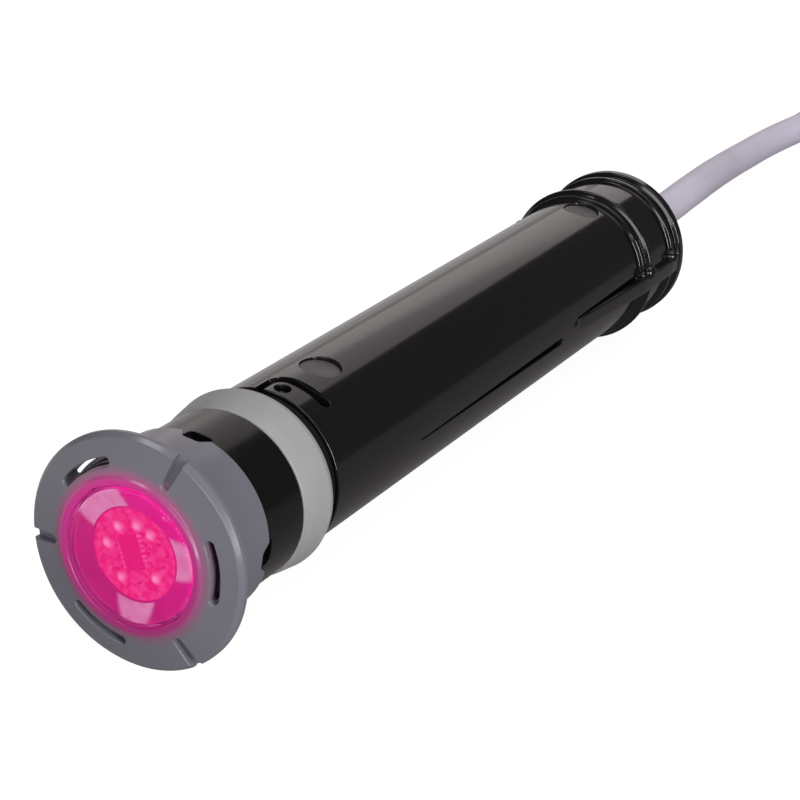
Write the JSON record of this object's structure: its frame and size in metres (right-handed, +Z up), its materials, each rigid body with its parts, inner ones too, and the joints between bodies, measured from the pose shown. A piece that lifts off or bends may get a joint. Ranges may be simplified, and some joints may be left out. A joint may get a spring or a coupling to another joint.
{
  "type": "underwater pond light",
  "caption": "Slim round LED pond light for a wall pipe: grey slotted bezel, clear lens, black sleeve with an expanding gasket, and a tied cable with a bare end.",
  "frame": {"origin": "on the floor, under the middle of the light without its free cable; the light lies on the lower edge of its flange and of its tail rim", "axes": "+Y along the light from the lens to the cable, falling 1.23 degrees because the flange is bigger than the tail rim; +Z up through the lock tab; +X to the right seen from the lens"},
  "size_m": [0.1144, 0.7679, 0.064],
  "materials": {
    "bezel_grey": "moulded mid grey plastic, semi-matt",
    "black_gloss": "moulded black plastic, glossy with a soft orange peel",
    "black_matt": "moulded black plastic, semi-matt",
    "lens_clear": "clear polycarbonate, polished",
    "reflector": "white moulded reflector lit magenta",
    "led": "clear silicone domes lit magenta",
    "board_white": "white solder mask",
    "chip": "moulded black epoxy",
    "thermal_pad": "grey silicone sheet",
    "heat_sink": "machined",
    "silicone": "translucent white silicone, matt",
    "seal_rubber": "black nitrile",
    "relief_rubber": "pale lilac grey moulded elastomer",
    "steel": "stainless steel",
    "dark_steel": "blackened stainless steel, polished dome",
    "board_holder": "natural nylon",
    "board_green": "green solder mask",
    "transformer": "yellow taped winding",
    "winding": "enamelled copper winding",
    "capacitor": "dark blue sleeve",
    "terminal": "green nylon",
    "wire_red": "red silicone insulation",
    "wire_black": "black silicone insulation",
    "core_brown": "brown insulation",
    "core_blue": "blue insulation",
    "core_green": "green and yellow insulation",
    "cable_jacket": "pale lilac grey jacket, satin",
    "tie": "black hook-and-loop strap"
  },
  "bodies": {
    "housing": {"lens_retainer": "black_matt", "lens": "lens_clear", "lens_seal": "seal_rubber", "reflector": "reflector", "led_board": "board_white", "thermal_pad": "thermal_pad", "led_1": "led", "led_2": "led", "led_3": "led", "led_4": "led", "led_5": "led", "led_6": "led", "control_chip": "chip", "heat_sink": "heat_sink", "front_housing": "black_gloss", "capsule_tube": "black_matt", "front_o_ring": "seal_rubber", "rear_cap": "black_matt", "rear_o_ring": "seal_rubber", "cap_screw_1": "steel", "cap_screw_2": "steel", "cap_screw_3": "steel", "gasket": "silicone", "pressure_ring": "black_matt", "sleeve": "black_gloss", "snap_pin": "dark_steel", "board_holder_front": "board_holder", "board_holder_rear": "board_holder", "driver_board": "board_green", "transformer": "transformer", "driver_chip": "chip", "inductor": "winding", "capacitor_1": "capacitor", "capacitor_2": "capacitor", "terminal_block": "terminal", "lamp_wire_1": "wire_red", "lamp_wire_2": "wire_black", "cable_core_1": "core_brown", "cable_core_2": "core_blue", "cable_core_3": "core_green", "gland_seal": "seal_rubber", "gland_nut": "black_matt", "strain_relief": "relief_rubber", "cable_inner": "cable_jacket", "power_cable": "cable_jacket", "cable_hank": "cable_jacket", "hank_tie_1": "tie", "hank_tie_2": "tie", "cable_end": "cable_jacket", "end_core_1": "core_brown", "end_core_2": "core_blue", "end_core_3": "core_green"},
    "bezel": {"bezel": "bezel_grey"},
    "tab": {"lock_tab": "black_gloss"}
  },
  "joints": [
    {"name": "bezel_twist", "type": "hinge", "parent": "housing", "child": "bezel", "pos_m": [0, -0.1522, 0.03198], "axis": [0, -0.9998, 0.0215], "range_deg": [0, 30]},
    {"name": "lock_tab_lift", "type": "hinge", "parent": "housing", "child": "tab", "pos_m": [0.00989, -0.09464, 0.05051], "axis": [0, 0.9998, -0.0215], "range_deg": [0, 8], "stiffness_Nm_per_rad": 0.002}
  ]
}
